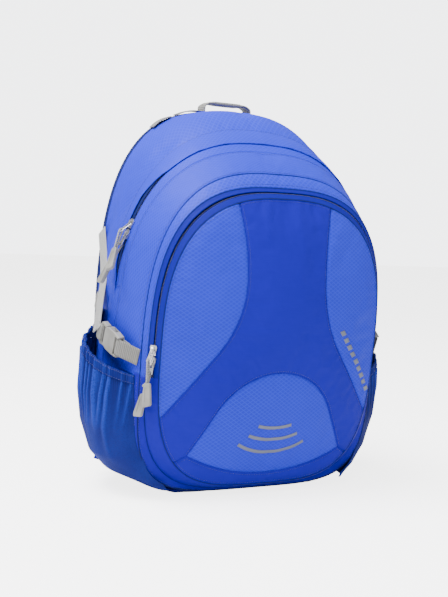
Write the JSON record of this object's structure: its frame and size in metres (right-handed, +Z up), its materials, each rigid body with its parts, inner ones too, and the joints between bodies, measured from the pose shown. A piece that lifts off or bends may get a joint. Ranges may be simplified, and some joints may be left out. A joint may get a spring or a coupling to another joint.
{
  "type": "daypack",
  "caption": "Small rounded daypack with a clamshell main zip, a domed front pocket, stretch side pockets, side compression buckles, padded shoulder straps and a grab handle.",
  "frame": {"origin": "middle of the flat base panel, on the floor the bag stands on", "axes": "+Z up, -Y out of the front panel, +Y towards the wearer's back, +X to the right as seen from the front"},
  "size_m": [0.382, 0.2319, 0.453],
  "materials": {
    "ripstop_light": "light blue nylon with a diamond ripstop grid, soft sheen",
    "plain_dark": "darker blue plain-weave nylon",
    "zip_tape": "deep blue woven tape with a coil",
    "stretch_mesh": "navy stretch mesh, gathered",
    "stretch_hem": "navy elastic binding",
    "air_mesh": "dark spacer mesh over foam",
    "webbing_grey": "ribbed grey polyester webbing",
    "lining": "thin grey-blue lining",
    "cord_grey": "braided grey cord",
    "print_grey": "satin reflective print",
    "buckle_grey": "moulded acetal, satin",
    "tip_grey": "soft moulded tip, satin",
    "zip_metal": "nickel-plated die casting, satin"
  },
  "bodies": {
    "pack": {"rear_gusset": "ripstop_light", "front_gusset": "ripstop_light", "main_zip_flap": "ripstop_light", "pocket_gusset_upper": "ripstop_light", "pocket_gusset_lower": "plain_dark", "bottom_panel": "plain_dark", "panel_left": "ripstop_light", "panel_right": "ripstop_light", "panel_oval": "ripstop_light", "panel_hourglass": "plain_dark", "panel_base": "plain_dark", "printed_bars": "print_grey", "back_panel": "plain_dark", "divider_panel": "lining", "main_zip_tape_rear": "zip_tape", "main_zip_tape_front": "zip_tape", "pocket_zip_tape_outer": "zip_tape", "pocket_zip_tape_inner": "zip_tape", "side_pocket_left": "stretch_mesh", "side_pocket_right": "stretch_mesh", "pocket_hem_left": "stretch_hem", "pocket_hem_right": "stretch_hem", "back_pad_left": "air_mesh", "back_pad_right": "air_mesh", "back_pad_lumbar": "air_mesh", "shoulder_strap_left": "air_mesh", "shoulder_strap_right": "air_mesh", "lower_webbing_left": "webbing_grey", "lower_webbing_right": "webbing_grey", "compression_front_left": "webbing_grey", "compression_front_right": "webbing_grey", "compression_rear_left": "webbing_grey", "compression_rear_right": "webbing_grey", "buckle_female_left": "buckle_grey", "buckle_female_right": "buckle_grey"},
    "slider_main_upper": {"slider_main_upper": "zip_metal"},
    "pull_main_upper": {"pull_tab_main_upper": "zip_metal", "pull_cord_main_upper": "cord_grey", "pull_tip_main_upper": "tip_grey"},
    "slider_main_lower": {"slider_main_lower": "zip_metal"},
    "pull_main_lower": {"pull_tab_main_lower": "zip_metal", "pull_cord_main_lower": "cord_grey", "pull_tip_main_lower": "tip_grey"},
    "slider_pocket_upper": {"slider_pocket_upper": "zip_metal"},
    "pull_pocket_upper": {"pull_tab_pocket_upper": "zip_metal", "pull_cord_pocket_upper": "cord_grey", "pull_tip_pocket_upper": "tip_grey"},
    "slider_pocket_lower": {"slider_pocket_lower": "zip_metal"},
    "pull_pocket_lower": {"pull_tab_pocket_lower": "zip_metal", "pull_cord_pocket_lower": "cord_grey", "pull_tip_pocket_lower": "tip_grey"},
    "buckle_male_left": {"buckle_male_left": "buckle_grey"},
    "buckle_prong_upper_left": {"buckle_prong_upper_left": "buckle_grey"},
    "buckle_prong_lower_left": {"buckle_prong_lower_left": "buckle_grey"},
    "ladder_lock_left": {"ladder_lock_left": "buckle_grey"},
    "buckle_male_right": {"buckle_male_right": "buckle_grey"},
    "buckle_prong_upper_right": {"buckle_prong_upper_right": "buckle_grey"},
    "buckle_prong_lower_right": {"buckle_prong_lower_right": "buckle_grey"},
    "ladder_lock_right": {"ladder_lock_right": "buckle_grey"},
    "grab_handle": {"grab_handle": "webbing_grey"}
  },
  "joints": [
    {"name": "main_upper_zip_travel", "type": "hinge", "parent": "pack", "child": "slider_main_upper", "pos_m": [0.06203, 0.0087, 0.22955], "axis": [0, 0.9903, 0.1388], "range_deg": [0, 8]},
    {"name": "main_lower_zip_travel", "type": "hinge", "parent": "pack", "child": "slider_main_lower", "pos_m": [0.06203, 0.0087, 0.22955], "axis": [0, 0.9903, 0.1388], "range_deg": [-8, 0]},
    {"name": "pocket_upper_zip_travel", "type": "slide", "parent": "pack", "child": "slider_pocket_upper", "axis": [-0.0009, -0.0889, 0.996], "range_m": [0, 0.025]},
    {"name": "pocket_lower_zip_travel", "type": "slide", "parent": "pack", "child": "slider_pocket_lower", "axis": [-0.0009, -0.0889, 0.996], "range_m": [-0.009, 0]},
    {"name": "main_upper_pull_swing", "type": "hinge", "parent": "slider_main_upper", "child": "pull_main_upper", "pos_m": [-0.15124, -0.00175, 0.30236], "axis": [0.0789, -0.983, -0.1655], "range_deg": [-140, 0]},
    {"name": "main_lower_pull_swing", "type": "hinge", "parent": "slider_main_lower", "child": "pull_main_lower", "pos_m": [-0.15491, -0.00002, 0.29042], "axis": [0.0607, -0.9859, -0.1558], "range_deg": [-18, 0]},
    {"name": "pocket_upper_pull_swing", "type": "hinge", "parent": "slider_pocket_upper", "child": "pull_pocket_upper", "pos_m": [-0.14352, -0.06298, 0.16926], "axis": [0.5503, -0.8315, -0.076], "range_deg": [-140, 0]},
    {"name": "pocket_lower_pull_swing", "type": "hinge", "parent": "slider_pocket_lower", "child": "pull_pocket_lower", "pos_m": [-0.14351, -0.06185, 0.1567], "axis": [0.5477, -0.8335, -0.073], "range_deg": [-10, 0]},
    {"name": "buckle_left_release", "type": "slide", "parent": "pack", "child": "buckle_male_left", "axis": [-0.187, 0.9151, 0.3572], "range_m": [0, 0.022], "deforming": ["buckle_prong_upper_left", "buckle_prong_lower_left", "compression_rear_left"]},
    {"name": "buckle_left_squeeze_upper", "type": "hinge", "parent": "buckle_male_left", "child": "buckle_prong_upper_left", "pos_m": [-0.17137, -0.005, 0.18656], "axis": [0.9824, 0.1742, 0.068], "range_deg": [0, 16], "stiffness_Nm_per_rad": 0.3},
    {"name": "buckle_left_squeeze_lower", "type": "hinge", "parent": "buckle_male_left", "child": "buckle_prong_lower_left", "pos_m": [-0.17137, 0.00173, 0.16933], "axis": [-0.9824, -0.1742, -0.068], "range_deg": [0, 16]},
    {"name": "buckle_right_release", "type": "slide", "parent": "pack", "child": "buckle_male_right", "axis": [0.187, 0.9151, 0.3572], "range_m": [0, 0.022], "deforming": ["buckle_prong_upper_right", "buckle_prong_lower_right", "compression_rear_right"]},
    {"name": "buckle_right_squeeze_upper", "type": "hinge", "parent": "buckle_male_right", "child": "buckle_prong_upper_right", "pos_m": [0.17137, -0.005, 0.18656], "axis": [0.9824, -0.1742, -0.068], "range_deg": [0, 16], "stiffness_Nm_per_rad": 0.3},
    {"name": "buckle_right_squeeze_lower", "type": "hinge", "parent": "buckle_male_right", "child": "buckle_prong_lower_right", "pos_m": [0.17137, 0.00173, 0.16933], "axis": [-0.9824, 0.1742, 0.068], "range_deg": [0, 16]},
    {"name": "ladder_lock_left_tilt", "type": "hinge", "parent": "pack", "child": "ladder_lock_left", "pos_m": [-0.09714, 0.10411, 0.11472], "axis": [0.9445, 0, -0.3285], "range_deg": [0, 32]},
    {"name": "ladder_lock_right_tilt", "type": "hinge", "parent": "pack", "child": "ladder_lock_right", "pos_m": [0.09714, 0.10411, 0.11472], "axis": [0.9445, 0, 0.3285], "range_deg": [0, 32]},
    {"name": "grab_handle_lean", "type": "hinge", "parent": "pack", "child": "grab_handle", "pos_m": [0, 0.084, 0.442], "axis": [1, 0, 0], "range_deg": [-13, 13], "stiffness_Nm_per_rad": 0.05}
  ],
  "couplings": [
    {"joint": "buckle_left_squeeze_lower", "follows": "buckle_left_squeeze_upper", "ratio": 1},
    {"joint": "buckle_right_squeeze_lower", "follows": "buckle_right_squeeze_upper", "ratio": 1}
  ]
}
